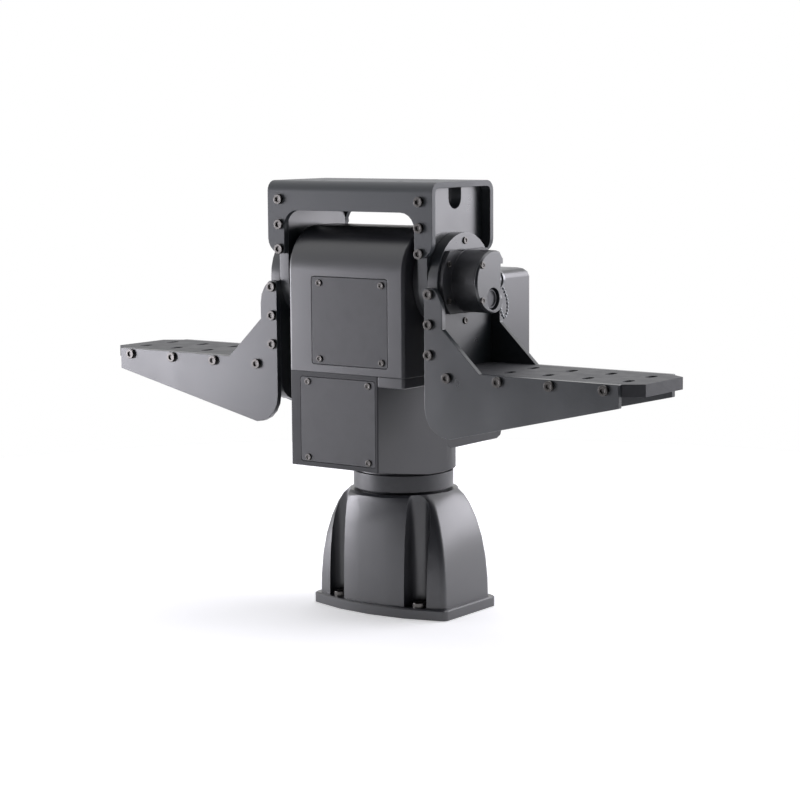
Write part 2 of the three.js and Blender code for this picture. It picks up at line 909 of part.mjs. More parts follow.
function wormWheel(boreRadius) {
  const twist = wheelWidth / 2 * Math.tan(wormAngle) / wheelPitchRadius;
  const layer = (height, turn) => toothOutline().map(([radius, angle]) => new THREE.Vector3(
    radius * Math.cos(angle + turn), radius * Math.sin(angle + turn), height));
  const half = wheelWidth / 2;
  return cut(
    toSolid(loft([layer(-half, twist), layer(half, -twist)])),
    alongZ(circle(0, 0, boreRadius), -half - overrun, half + overrun),
  );
}

// Radius of the threaded surface at a distance along the axis from the thread's middle
function threadRadius(offset) {
  const turn = Math.abs(offset - wormLead * Math.round(offset / wormLead));
  const flank = toothThickness / 2 + (wormPitchRadius - wormRootRadius) * Math.tan(pressureAngle);
  const height = (flank - turn) / Math.tan(pressureAngle);
  return Math.min(wormTipRadius, wormRootRadius + Math.max(0, height));
}

function wormShaft() {
  const rows = wormThreadTurns * wormRowsPerTurn;
  const half = wormThreadTurns * wormLead / 2;
  const rings = [];
  for (let row = 0; row <= rows; row += 1) {
    const x = -half + row * wormLead / wormRowsPerTurn;
    const fade = Math.min(1, (half - Math.abs(x)) / (wormLead / 2));
    const ring = [];
    for (let step = 0; step < wormStepsAround; step += 1) {
      const angle = 4 * quarter * step / wormStepsAround;
      const full = threadRadius(x - wormLead * (angle - quarter) / (4 * quarter));
      const radius = wormRootRadius + (full - wormRootRadius) * fade;
      ring.push(new THREE.Vector3(x, -driveDistance + radius * Math.sin(angle), radius * Math.cos(angle)));
    }
    rings.push(ring);
  }
  const shaft = turnedGeometry([[0, -motorStart + fitGap], [wormShaftRadius, -motorStart + fitGap],
    [wormShaftRadius, motorStart - fitGap], [0, motorStart - fitGap]], 12);
  const core = toSolid(shaft.applyMatrix4(turnAlongX).translate(0, -driveDistance, 0));
  return joined(toSolid(loft(rings)), core);
}

function wormBearing(side) {
  const [low, high] = range(side, wormBearingStart, wormBearingStart + wormBearingWidth);
  const profile = ringProfile(wormShaftRadius + fitGap, wormBearingRadius, low, high);
  const geometry = turnedGeometry(profile, 12).applyMatrix4(turnAlongX);
  return toSolid(geometry.translate(0, -driveDistance, 0));
}

function driveBracket() {
  const near = -driveDistance + wormBearingRadius;
  const far = near - driveFootDepth;
  const radius = wormBearingRadius + cradleWall;
  const footTop = -driveFootDrop + driveFootThickness;
  const ear = [
    at(far, -driveFootDrop),
    at(near, -driveFootDrop),
    ...arc(-driveDistance, 0, radius, 0, 2 * quarter),
    at(far, 0),
  ];
  const foot = [at(far, -driveFootDrop), at(near, -driveFootDrop), at(near, footTop), at(far, footTop)];
  const earEnd = motorStart - fitGap;
  const bore = circle(-driveDistance, 0, wormBearingRadius + fitGap);
  const bearingEnd = wormBearingStart + wormBearingWidth + fitGap;
  return cut(
    joined(
      alongX(foot, -bearingEnd, earEnd),
      alongX(ear, -bearingEnd, -wormBearingStart),
      alongX(ear, wormBearingStart, earEnd),
    ),
    alongX(bore, -bearingEnd - overrun, earEnd + overrun),
  );
}

function driveMotor() {
  const end = motorStart + motorLength;
  const edge = motorBossLength;
  const profile = [
    [0, motorStart],
    [motorRadius, motorStart],
    [motorRadius, end - edge],
    [motorBoss, end - edge],
    [motorBoss, end],
    [0, end],
  ];
  const geometry = turnedGeometry(profile, 16).applyMatrix4(turnAlongX);
  return toSolid(geometry.translate(0, -driveDistance, 0));
}

// Cradle pieces, about the tilt axis: first the bent bracket over the head
function topBracket() {
  const outerHalf = plateHalfDepth + sheet;
  const bend = bracketBend;
  const inner = bracketBend - sheet;
  const channel = [
    at(-outerHalf, legBottom),
    at(-plateHalfDepth, legBottom),
    ...arc(-plateHalfDepth + inner, bracketRise - bend, inner, 2 * quarter, quarter),
    ...arc(plateHalfDepth - inner, bracketRise - bend, inner, quarter, 0),
    at(plateHalfDepth, legBottom),
    at(outerHalf, legBottom),
    ...arc(outerHalf - bend, bracketRise - bend, bend, 0, quarter),
    ...arc(-outerHalf + bend, bracketRise - bend, bend, quarter, 2 * quarter),
  ];
  const half = bracketLength / 2;
  const front = [
    ...arc(-half + legCorner, legBottom + legCorner, legCorner, 2 * quarter, 3 * quarter),
    at(-windowHalf, legBottom),
    ...arc(-windowHalf + windowCorner, windowTop - windowCorner, windowCorner, 2 * quarter, quarter),
    ...arc(windowHalf - windowCorner, windowTop - windowCorner, windowCorner, quarter, 0),
    at(windowHalf, legBottom),
    ...arc(half - legCorner, legBottom + legCorner, legCorner, 3 * quarter, 4 * quarter),
    at(half, bracketRise + overrun),
    at(-half, bracketRise + overrun),
  ];
  const reach = outerHalf + overrun;
  let body = alongX(channel, -half, half).intersect(alongY(front, -reach, reach));
  for (const sideX of [-1, 1]) {
    for (const sideY of [-1, 1]) {
      const hole = circle(sideX * topHoleSpacingX / 2, sideY * topHoleSpacingY / 2, topHoleRadius);
      body = cut(body, alongZ(hole, bracketRise - sheet - overrun, bracketRise + overrun));
    }
  }
  return body;
}

function endPlate(side) {
  const top = bracketRise - sheet;
  const chamfer = bracketBend - sheet + fitGap;
  const half = plateHalfDepth;
  const notch = notchWidth / 2;
  const outline = [
    ...arc(0, 0, half, 2 * quarter, 4 * quarter),
    at(half, top - chamfer),
    at(half - chamfer, top),
    at(notch, top),
    ...arc(0, notchBottom + notch, notch, 4 * quarter, 2 * quarter),
    at(-notch, top),
    at(-half + chamfer, top),
    at(-half, top - chamfer),
  ];
  const span = range(side, endPlateInner, sidePlateInner);
  return cut(alongX(outline, ...span), alongX(circle(0, 0, cableBoreRadius), ...widened(span)));
}

function widened([low, high]) {
  return [low - overrun, high + overrun];
}

function sidePlate(side) {
  const half = plateHalfDepth;
  const corner = sidePlateCorner;
  const outline = [
    ...arc(0, 0, half, 0, 2 * quarter),
    ...arc(-half + corner, -sidePlateDrop + corner, corner, 2 * quarter, 3 * quarter),
    ...arc(half - corner, -sidePlateDrop + corner, corner, 3 * quarter, 4 * quarter),
  ];
  const span = range(side, sidePlateInner, sidePlateOuter);
  return cut(alongX(outline, ...span), alongX(circle(0, 0, cableBoreRadius), ...widened(span)));
}

function gusset(side, front) {
  const inner = sidePlateInner;
  const arm = inner + armWidth;
  const slantEnd = arm + slantRun;
  const heel = inner + heelReach;
  const shelfEnd = shelfDrop + gussetEnd;
  const crownStart = Math.asin(gussetCrownDrop / gussetCrownRadius);
  const outline = [
    at(inner, -gussetTopDrop),
    ...arc(arm - gussetCrownRadius, -gussetTopDrop - gussetCrownDrop, gussetCrownRadius, crownStart, 0),
    at(arm, -armFoot),
    at(slantEnd, -shelfDrop),
    at(gussetReach, -shelfDrop),
    at(gussetReach, -shelfEnd),
    at(heel, -heelDrop),
    ...arc(inner + heelRound, -heelDrop + heelRound, heelRound, 3 * quarter, 2 * quarter)
      .filter((point) => point.x < heel),
  ].map((point) => at(side * point.x, point.y));
  return alongY(outline, ...range(front, plateHalfDepth, plateHalfDepth + sheet));
}

function shelf(side) {
  const half = plateHalfDepth;
  const outline = [
    at(sidePlateOuter, -half),
    at(shelfReach - shelfChamferX, -half),
    at(shelfReach, -half + shelfChamferY),
    at(shelfReach, half - shelfChamferY),
    at(shelfReach - shelfChamferX, half),
    at(sidePlateOuter, half),
  ].map((point) => at(side * point.x, point.y));
  const bottom = -shelfDrop - plate;
  let body = alongZ(outline, bottom, -shelfDrop);
  for (let column = 0; column < slotColumns; column += 1) {
    const x = side * (shelfReach - slotFromEnd - column * slotPitch);
    for (const row of [-1, 1]) {
      const slot = slotAlongY(x, row * slotRowSpacing / 2, slotWidth, slotLength);
      body = cut(body, alongZ(slot, bottom - overrun, -shelfDrop + overrun));
    }
  }
  return body;
}

// Accessory connector housing: a round pod with a flat at the back, where a recess
// holds the connector, and a sunk cap in its lid
function podOutline(inset) {
  const radius = podRadius - inset;
  const flat = podFlat - inset;
  const edge = Math.acos(flat / radius);
  const rise = radius * Math.sin(edge) - podFlatCorner;
  return [
    ...evenArc(0, 0, radius, edge, 4 * quarter - edge, 22).slice(1, -1),
    at(flat - podFlatCorner / 2, -rise - podFlatCorner / 2),
    at(flat, -rise),
    at(flat, rise),
    at(flat - podFlatCorner / 2, rise + podFlatCorner / 2),
  ];
}

function connectorPod() {
  const start = sidePlateOuter + podFlangeThickness;
  const tall = podRadius;
  const flange = alongX(circle(0, 0, podFlangeRadius), sidePlateOuter, start)
    .intersect(alongX([at(-podFlangeRadius, -tall), at(podFlangeRadius, -tall), at(podFlangeRadius, tall),
      at(-podFlangeRadius, tall)], sidePlateOuter - overrun, start + overrun));
  const body = joined(flange, alongX(podOutline(0), sidePlateOuter, sidePlateOuter + podLength));
  return cut(body, connectorRecess(), capPort());
}

function connectorRecess() {
  const half = accessoryFlangeHeight / 2 + fitGap;
  const far = podRadius + overrun;
  const outline = [at(podSeat, -half), at(far, -half), at(far, half), at(podSeat, half)];
  return alongX(outline, sidePlateOuter + podFlangeThickness, sidePlateOuter + podLength + podLid + overrun);
}

function capPort() {
  const face = sidePlateOuter + podLength + podLid;
  const port = circle(-capForward, -capDrop, capRadius + fitGap);
  return alongX(port, face - capSink - capThickness, face + overrun);
}

function podCover() {
  const start = sidePlateOuter + podLength;
  const ring = (inset, x) => podOutline(inset).map((point) => new THREE.Vector3(x, point.x, point.y));
  const lid = toSolid(loft([
    ring(0, start),
    ring(0, start + podLid - podLidEdge),
    ring(podLidEdge, start + podLid),
  ]));
  return cut(lid, connectorRecess(), capPort());
}

function accessoryConnector() {
  const x = sidePlateOuter + podFlangeThickness + (podLength - podFlangeThickness) / 2;
  const halfHeight = accessoryFlangeHeight / 2;
  const flangeEnd = podSeat + accessoryFlangeThickness;
  const end = flangeEnd + accessoryLength;
  const ribStart = end - accessoryRibWidth - accessoryRib;
  const barrel = joined(
    alongY(circle(x, 0, accessoryRadius - accessoryRib), podSeat, end),
    alongY(circle(x, 0, accessoryRadius), flangeEnd, flangeEnd + accessoryRibWidth),
    alongY(circle(x, 0, accessoryRadius), ribStart, ribStart + accessoryRibWidth),
  );
  const flange = roundBox(x, 0, accessoryFlangeWidth / 2, halfHeight, socketFlangeCorner);
  return joined(alongY(flange, podSeat, flangeEnd), barrel);
}

function dustCap() {
  const end = sidePlateOuter + podLength + podLid - capSink;
  const start = end - capThickness;
  const profile = [
    [0, start],
    [capRadius, start],
    [capRadius, end - capEdge],
    [capRadius - capEdge, end],
    [0, end],
  ];
  const geometry = turnedGeometry(profile, 16).applyMatrix4(turnAlongX);
  return toSolid(geometry.translate(0, -capForward, -capDrop));
}

function sideCap() {
  const start = -sidePlateOuter;
  const end = start - sideCapThickness;
  return turnedAlongX([
    [0, end],
    [sideCapRadius - sideCapEdge, end],
    [sideCapRadius, end + sideCapEdge],
    [sideCapRadius, start],
    [0, start],
  ], 32);
}

// Assembly
const model = new THREE.Group();
const base = new THREE.Group();
const head = new THREE.Group();
const cradle = new THREE.Group();
cradle.position.set(headSide, -tiltForward, tiltHeight);
model.add(base, head, cradle);

addPiece(base, 'base_casting', baseCasting(), castCoat);
addPiece(base, 'foot_plate', footPlate(), blackCoat);
addPiece(base, 'base_connector_left', baseSocket(-1), nickel);
addPiece(base, 'base_connector_right', baseSocket(1), nickel);
addPiece(base, 'neck_ring', neckRing(), blackCoat);
addPiece(base, 'pan_post', panPost(), steel);
addPiece(base, 'slip_ring', slipRing(), darkRubber);

const carrierTop = seamHeight - carrierDrop;
addPiece(head, 'lower_housing', lowerHousing(), castCoat);
addPiece(head, 'pan_bearing_lower', panBearing(lowerBottom + runGap), steel);
addPiece(head, 'pan_bearing_upper', panBearing(carrierTop - (carrierThickness + bearingWidth) / 2), steel);
addPiece(head, 'pan_bearing_carrier', panCarrier(), steel);
addPiece(head, 'lower_front_cover', coverPlate(covers.lower), blackCoat);
addPiece(head, 'lower_cover_gasket', coverGasket(covers.lower), darkRubber);
addPiece(head, 'housing_side_flange', sideFlange(), castCoat);
addPiece(head, 'upper_housing', upperHousing(), castCoat);
addPiece(head, 'rear_housing', rearHousing(), castCoat);
addPiece(head, 'upper_front_cover', coverPlate(covers.upper), blackCoat);
addPiece(head, 'upper_cover_gasket', coverGasket(covers.upper), darkRubber);
addPiece(head, 'rear_cover', coverPlate(covers.rear), blackCoat);
addPiece(head, 'rear_cover_gasket', coverGasket(covers.rear), darkRubber);
addPiece(head, 'control_board', controlBoard(), boardGreen);

// The pan drive stands upright about the pan axis; the tilt drive is turned to the tilt axis
const panDrive = new THREE.Group();
panDrive.position.set(0, 0, panDriveHeight);
const tiltDrive = new THREE.Group();
tiltDrive.position.set(headSide - tiltDriveSide, -tiltForward, tiltHeight);
tiltDrive.rotation.setFromRotationMatrix(turnAlongX);
model.add(panDrive, tiltDrive);
addPiece(panDrive, 'pan_worm_wheel', wormWheel(postRadius + fitGap), bronze);
addPiece(tiltDrive, 'tilt_worm_wheel', wormWheel(tiltShaftRadius + fitGap), bronze);
for (const [axisName, drive] of [['pan', panDrive], ['tilt', tiltDrive]]) {
  addPiece(drive, `${axisName}_worm`, wormShaft(), steel);
  addPiece(drive, `${axisName}_worm_bearing_near`, wormBearing(1), steel);
  addPiece(drive, `${axisName}_worm_bearing_far`, wormBearing(-1), steel);
  addPiece(drive, `${axisName}_drive_bracket`, driveBracket(), plateCoat);
  addPiece(drive, `${axisName}_motor`, driveMotor(), blackCoat);
}

addPiece(cradle, 'tilt_shaft', tiltShaft(), steel);
addPiece(cradle, 'top_bracket', topBracket(), plateCoat);
for (const [sideName, side] of [['left', -1], ['right', 1]]) {
  addPiece(cradle, `tilt_bearing_${sideName}`, tiltBearing(side), steel);
  addPiece(cradle, `tilt_seal_${sideName}`, tiltSeal(side), darkRubber);
  addPiece(cradle, `tilt_hub_${sideName}`, tiltHub(side), blackCoat);
  addPiece(cradle, `end_plate_${sideName}`, endPlate(side), plateCoat);
  addPiece(cradle, `side_plate_${sideName}`, sidePlate(side), plateCoat);
  addPiece(cradle, `shelf_${sideName}`, shelf(side), plateCoat);
  addPiece(cradle, `gusset_${sideName}_front`, gusset(side, -1), plateCoat);
  addPiece(cradle, `gusset_${sideName}_back`, gusset(side, 1), plateCoat);
}
addPiece(cradle, 'connector_pod', connectorPod(), blackCoat);
addPiece(cradle, 'pod_cover', podCover(), plateCoat);
addPiece(cradle, 'accessory_connector', accessoryConnector(), nickel);
addPiece(cradle, 'dust_cap', dustCap(), blackCoat);
addPiece(cradle, 'side_cap', sideCap(), blackCoat);

export default model;
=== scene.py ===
"""Looks of a motorised pan and tilt head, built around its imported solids."""

import json
import math

import bmesh
import bpy
from mathutils import Matrix, Vector

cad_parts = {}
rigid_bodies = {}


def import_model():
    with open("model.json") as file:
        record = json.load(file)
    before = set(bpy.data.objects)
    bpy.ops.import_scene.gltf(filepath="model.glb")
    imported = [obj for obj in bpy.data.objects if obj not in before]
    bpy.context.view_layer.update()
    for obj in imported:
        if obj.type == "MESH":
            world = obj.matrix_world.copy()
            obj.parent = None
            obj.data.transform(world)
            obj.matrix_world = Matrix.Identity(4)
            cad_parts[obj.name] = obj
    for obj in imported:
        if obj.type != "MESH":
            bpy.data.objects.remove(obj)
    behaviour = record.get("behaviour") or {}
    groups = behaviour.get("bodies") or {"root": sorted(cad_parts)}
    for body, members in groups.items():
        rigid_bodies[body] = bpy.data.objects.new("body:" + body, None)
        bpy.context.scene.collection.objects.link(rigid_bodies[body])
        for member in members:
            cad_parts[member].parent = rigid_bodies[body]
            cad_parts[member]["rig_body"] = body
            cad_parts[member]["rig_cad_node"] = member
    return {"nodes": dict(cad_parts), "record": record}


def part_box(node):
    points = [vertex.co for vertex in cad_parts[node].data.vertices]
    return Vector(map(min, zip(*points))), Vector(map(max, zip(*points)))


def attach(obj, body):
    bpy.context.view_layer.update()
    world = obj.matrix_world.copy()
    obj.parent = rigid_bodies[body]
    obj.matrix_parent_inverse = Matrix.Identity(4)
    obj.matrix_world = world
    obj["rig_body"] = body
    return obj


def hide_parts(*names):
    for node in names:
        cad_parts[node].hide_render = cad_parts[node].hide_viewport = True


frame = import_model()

bl_info = {
    "name": "Pan and Tilt Head",
    "version": (1, 0, 0),
    "blender": (4, 5, 0),
    "location": "3D View > Sidebar > Pan Tilt",
    "description": "Builds the housings, plates, fasteners and studio of a pan and tilt head",
    "category": "Add Mesh",
}

MM = 0.001
X, Y, Z = Vector((1, 0, 0)), Vector((0, 1, 0)), Vector((0, 0, 1))

# The middle of the tilt shaft, from which the places on the cradle are measured
TILT = Vector((13.1, -50.1, 295.0)) * MM

# Edges that turn more than this many degrees are sharp ones
SHARP_ANGLE = 32


# Materials


def from_hex(text):
    """A colour written in sRGB hex, as the linear values that a shader takes."""
    parts = [int(text[i : i + 2], 16) / 255 for i in (0, 2, 4)]
    linear = [p / 12.92 if p <= 0.04045 else ((p + 0.055) / 1.055) ** 2.4 for p in parts]
    return (*linear, 1.0)


def add_node(tree, kind, settings=None, values=None, links=None):
    """Adds a node with its settings, its input values and its incoming links."""
    node = tree.nodes.new(kind)
    for name, value in (settings or {}).items():
        setattr(node, name, value)
    for name, value in (values or {}).items():
        node.inputs[name].default_value = value
    for name, socket in (links or {}).items():
        tree.links.new(socket, node.inputs[name])
    return node


def new_material(name):
    """An empty node material with its output, and the output's surface socket."""
    material = bpy.data.materials.new(name)
    material.use_nodes = True
    material.node_tree.nodes.clear()
    output = add_node(material.node_tree, "ShaderNodeOutputMaterial")
    return material, material.node_tree, output.inputs["Surface"]


def grained_surface(name, dark, light, shader, grain_mm, relief_mm, rough, patch_mm=45):
    """A surface with a fine grain in relief and a slow drift of tone and gloss."""
    material, tree, surface = new_material(name)
    place = add_node(tree, "ShaderNodeTexCoord").outputs["Object"]
    drift = add_node(
        tree,
        "ShaderNodeTexNoise",
        values={"Scale": 1 / (patch_mm * MM), "Detail": 3.0, "Roughness": 0.55},
        links={"Vector": place},
    )
    grain = add_node(
        tree,
        "ShaderNodeTexNoise",
        values={"Scale": 1 / (grain_mm * MM), "Detail": 2.0, "Roughness": 0.6},
        links={"Vector": place},
    )
    tone = add_node(
        tree,
        "ShaderNodeMix",
        settings={"data_type": "RGBA"},
        links={"Factor": drift.outputs["Fac"]},
    )
    colour_inputs = [socket for socket in tone.inputs if socket.type == "RGBA"]
    colour_inputs[0].default_value = from_hex(dark)
    colour_inputs[1].default_value = from_hex(light)
    colour = [socket for socket in tone.outputs if socket.type == "RGBA"][0]
    gloss = add_node(
        tree,
        "ShaderNodeMapRange",
        values={"From Min": 0.3, "From Max": 0.7, "To Min": rough[0], "To Max": rough[1]},
        links={"Value": drift.outputs["Fac"]},
    )
    bump = add_node(
        tree,
        "ShaderNodeBump",
        values={"Strength": 1.0, "Distance": relief_mm * MM},
        links={"Height": grain.outputs["Fac"]},
    )
    principled = add_node(
        tree,
        "ShaderNodeBsdfPrincipled",
        values=shader,
        links={
            "Base Color": colour,
            "Roughness": gloss.outputs["Result"],
            "Normal": bump.outputs["Normal"],
        },
    )
    tree.links.new(principled.outputs["BSDF"], surface)
    return material


METAL = {"Metallic": 1.0}


def coat(ior, specular=0.5):
    """The shader values of a paint, an oxide layer, a plastic or a rubber."""
    return {"Metallic": 0.0, "IOR": ior, "Specular IOR Level": specular}


def make_materials():
    """All the finishes of the head, most of them named for the slot that they belong to."""
    return {
        # Powder coat on cast aluminium: a fine orange peel that breaks up the reflections
        "cast_coat": grained_surface(
            "powder_coated_casting", "2b2c30", "343539", coat(1.6, 0.8),
            grain_mm=0.9, relief_mm=0.02, rough=(0.3, 0.36),
        ),
        # Painted shade: the lower casting wears the same coat in a deeper, flatter black, a darker
        # copy that stands in for the shade on its side
        "painted_shade_coat": grained_surface(
            "matt_powder_coated_casting", "1c1d20", "25262a", coat(1.5, 0.45),
            grain_mm=0.9, relief_mm=0.02, rough=(0.42, 0.5),
        ),
        # Hard anodised aluminium plate: a dyed oxide layer, smoother and glossier than the coat
        "plate_coat": grained_surface(
            "anodised_plate", "24282b", "2d3135", coat(1.65, 0.7),
            grain_mm=0.5, relief_mm=0.008, rough=(0.27, 0.33),
        ),
        # The bracket's sheet was brushed before it was anodised: a broad sheen with no glare
        "brushed_sheet": grained_surface(
            "brushed_anodised_sheet", "33373a", "3e4246", coat(1.55, 0.6),
            grain_mm=0.5, relief_mm=0.012, rough=(0.42, 0.5),
        ),
        # The shelves' plate, bead blasted before the dye for grip: matt, and duller at a low angle
        "blasted_plate": grained_surface(
            "bead_blasted_anodised_plate", "2b2c2f", "3a3b3e", coat(1.5),
            grain_mm=0.6, relief_mm=0.03, rough=(0.46, 0.58), patch_mm=12,
        ),
        # Black paint on hubs, covers and caps: a sheen that wanders from satin to dull
        "black_coat": grained_surface(
            "satin_black_paint", "242528", "3b3c3f", coat(1.6),
            grain_mm=0.7, relief_mm=0.02, rough=(0.32, 0.5), patch_mm=15,
        ),
        # Ground and turned steel: bright, with highlights that the fine lay softens
        "steel": grained_surface(
            "ground_steel", "8b8d90", "9da0a3", METAL,
            grain_mm=0.4, relief_mm=0.008, rough=(0.28, 0.4),
        ),
        # Cast bronze of the worm wheels: warm yellow beside the steel
        "bronze": grained_surface(
            "machined_bronze", "8f7440", "a4864e", METAL,
            grain_mm=0.5, relief_mm=0.01, rough=(0.3, 0.42),
        ),
        # Matt nickel on connector shells: a soft grey metal against the black
        "nickel": grained_surface(
            "matt_nickel_plate", "747576", "87888a", METAL,
            grain_mm=0.4, relief_mm=0.008, rough=(0.3, 0.42),
        ),
        # Moulded nitrile rubber of seals and gaskets: a dead matt line between two coats
        "rubber": grained_surface(
            "moulded_rubber", "161616", "1d1d1d", coat(1.5),
            grain_mm=0.6, relief_mm=0.02, rough=(0.7, 0.85),
        ),
        # Solder mask on glass fibre board: glossy green over a faint weave
        "board": grained_surface(
            "solder_mask", "1c4a2c", "235636", coat(1.5),
            grain_mm=1.2, relief_mm=0.01, rough=(0.35, 0.45),
        ),
        # Blackened steel of the socket screws: dark metal whose rims catch the light
        "screw": grained_surface(
            "black_oxide_steel", "595755", "686664", METAL,
            grain_mm=0.4, relief_mm=0.01, rough=(0.26, 0.34),
        ),
        # Moulded grey plastic of the dust cap: lighter than its neighbours, with an even gloss
        "grey_plastic": grained_surface(
            "moulded_grey_plastic", "66676a", "727376", coat(1.46),
            grain_mm=0.6, relief_mm=0.01, rough=(0.4, 0.5),
        ),
    }


FINISHES = {}


def paint(piece, finish):
    """Gives the piece one finish all over."""
    piece.data.materials.clear()
    piece.data.materials.append(FINISHES[finish])


# Modelling by hand


def deselect():
    """Leaves edit mode and empties the selection."""
    if bpy.context.mode != "OBJECT":
        bpy.ops.object.mode_set(mode="OBJECT")
    bpy.ops.object.select_all(action="DESELECT")


def pick(piece):
    """Makes the piece the only one selected, and active."""
    deselect()
    piece.select_set(True)
    bpy.context.view_layer.objects.active = piece


def select_faces(piece, test):
    """In edit mode: selects just the faces whose centre and normal pass the test."""
    bpy.ops.mesh.select_mode(type="FACE")
    bpy.ops.mesh.select_all(action="DESELECT")
    mesh = bmesh.from_edit_mesh(piece.data)
    chosen = [face for face in mesh.faces if test(face.calc_center_median(), face.normal)]
    if not chosen:
        raise RuntimeError(f"no face of {piece.name} was found to work on")
    for face in chosen:
        face.select = True
    bmesh.update_edit_mesh(piece.data)


def edit(piece):
    """Enters edit mode on the piece."""
    pick(piece)
    bpy.ops.object.mode_set(mode="EDIT")


def leave_edit():
    """Returns to object mode, which puts the edits into the mesh."""
    bpy.ops.object.mode_set(mode="OBJECT")


def settle(piece):
    """Puts the piece's place into its mesh."""
    pick(piece)
    bpy.ops.object.transform_apply(location=True, rotation=True, scale=True)


def apply_modifier(piece, kind, **settings):
    """Adds a modifier with its settings and applies it."""
    pick(piece)
    modifier = piece.modifiers.new(kind.lower(), kind)
    for name, value in settings.items():
        setattr(modifier, name, value)
    bpy.ops.object.modifier_apply(modifier=modifier.name)


def break_edges(piece, width_mm, segments=2, angle=SHARP_ANGLE):
    """Rounds the sharp edges a little and smooths the shading between them."""
    apply_modifier(
        piece,
        "BEVEL",
        width=width_mm * MM,
        segments=segments,
        limit_method="ANGLE",
        angle_limit=math.radians(angle),
        use_clamp_overlap=True,
    )
    smooth(piece, angle)


def smooth(piece, angle=SHARP_ANGLE):
    """Smooths the shading over the rounds, and keeps the large flats flat."""
    pick(piece)
    bpy.ops.object.shade_smooth_by_angle(angle=math.radians(angle))
    apply_modifier(piece, "WEIGHTED_NORMAL", mode="FACE_AREA", weight=100, keep_sharp=True)


def fit(piece, body, finish, replaces=()):
    """Paints a finished piece, hangs it on its body and hides the solids that it replaces."""
    settle(piece)
    paint(piece, finish)
    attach(piece, body)
    if replaces:
        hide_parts(*replaces)


def body_of(node):
    """The body that a solid of the frame belongs to."""
    bodies = frame["record"]["behaviour"]["bodies"]
    return next(body for body, members in bodies.items() if node in members)


def dressed_copy(node, name, width_mm, segments=2, merge_mm=0.002, flat_angle=0.6):
    """A clean copy of a solid with its flats joined up and its edges broken."""
    source = frame["nodes"][node]
    pick(source)
    bpy.ops.object.duplicate()
    piece = bpy.context.active_object
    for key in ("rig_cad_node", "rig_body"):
        if key in piece:
            del piece[key]
    piece.parent = None
    piece.matrix_world = Matrix.Identity(4)
    piece.name = name
    edit(piece)
    bpy.ops.mesh.select_all(action="SELECT")
    bpy.ops.mesh.remove_doubles(threshold=merge_mm * MM)
    bpy.ops.mesh.dissolve_limited(angle_limit=math.radians(flat_angle))
    leave_edit()
    break_edges(piece, width_mm, segments)
    return piece


def rod(name, radius, depth, centre, axis=Z, sides=48):
    """A cylinder of the real size, along any axis, to be shaped further."""
    deselect()
    bpy.ops.mesh.primitive_cylinder_add(
        vertices=sides,
        radius=radius * MM,
        depth=depth * MM,
        location=centre,
        rotation=Z.rotation_difference(axis).to_euler(),
    )
    piece = bpy.context.active_object
    piece.name = name
    settle(piece)
    return piece


def copy_mesh(piece, matrix):
    """A copy of the piece with a mesh of its own, moved by the matrix."""
    twin = piece.copy()
    twin.data = piece.data.copy()
    bpy.context.scene.collection.objects.link(twin)
    twin.data.transform(matrix)
    return twin


def placed(point, outward):
    """The move that takes a part drawn on +Z at the origin to a point, facing outward."""
    return Matrix.Translation(point) @ Z.rotation_difference(outward).to_matrix().to_4x4()


def repeated(pattern, places, name):
    """One piece made of copies of the pattern at each (point, outward) place."""
    twins = [copy_mesh(pattern, placed(point, outward)) for point, outward in places]
    deselect()
    for twin in twins:
        twin.select_set(True)
    bpy.context.view_layer.objects.active = twins[0]
    if len(twins) > 1:
        bpy.ops.object.join()
    piece = bpy.context.active_object
    piece.name = name
    return piece


def discard(piece):
    """Throws a pattern or a cutting tool away."""
    bpy.data.objects.remove(piece, do_unlink=True)


def cut_out(piece, tool):
    """Cuts the tool's shape out of the piece and throws the tool away."""
    apply_modifier(piece, "BOOLEAN", operation="DIFFERENCE", object=tool, solver="EXACT")
    discard(tool)


# Sizes that a user would change


class EdgeSizes(bpy.types.PropertyGroup):
    """How far the edges of each kind of part are broken, in millimetres."""

    casting: bpy.props.FloatProperty(
        name="Casting", description="Edge round of the castings", default=0.9, min=0.1
    )
    plate: bpy.props.FloatProperty(
        name="Plate", description="Edge break of machined plates", default=0.5, min=0.1
    )
    sheet: bpy.props.FloatProperty(
        name="Sheet", description="Edge break of folded sheets", default=0.4, min=0.1
    )
    turned: bpy.props.FloatProperty(
        name="Turned", description="Edge break of turned parts", default=0.5, min=0.1
    )
    connector: bpy.props.FloatProperty(
        name="Connector", description="Edge break of connector shells", default=0.3, min=0.1
    )


class ScrewSizes(bpy.types.PropertyGroup):
    """Head radius, head height and key radius of each socket screw, in millimetres."""

    plate: bpy.props.FloatVectorProperty(
        name="Plate screw", description="M5 screws of the cradle's plates", default=(4.3, 2.6, 2.3)
    )
    cover: bpy.props.FloatVectorProperty(
        name="Cover screw", description="Screws of covers and hubs", default=(2.9, 1.2, 1.6)
    )
    foot: bpy.props.FloatVectorProperty(
        name="Foot screw", description="M8 screws of the foot", default=(6.5, 4.0, 3.6)
    )
    flange: bpy.props.FloatVectorProperty(
        name="Flange screw", description="Screws of the connector", default=(1.8, 1.5, 0.9)
    )


class ChainSizes(bpy.types.PropertyGroup):
    """The bead chain of the dust cap, in millimetres."""

    bead: bpy.props.FloatProperty(name="Bead", description="Radius of a bead", default=1.15)
    step: bpy.props.FloatProperty(name="Step", description="From bead to bead", default=3.0)
    wire: bpy.props.FloatProperty(name="Wire", description="Radius of the wire", default=0.4)


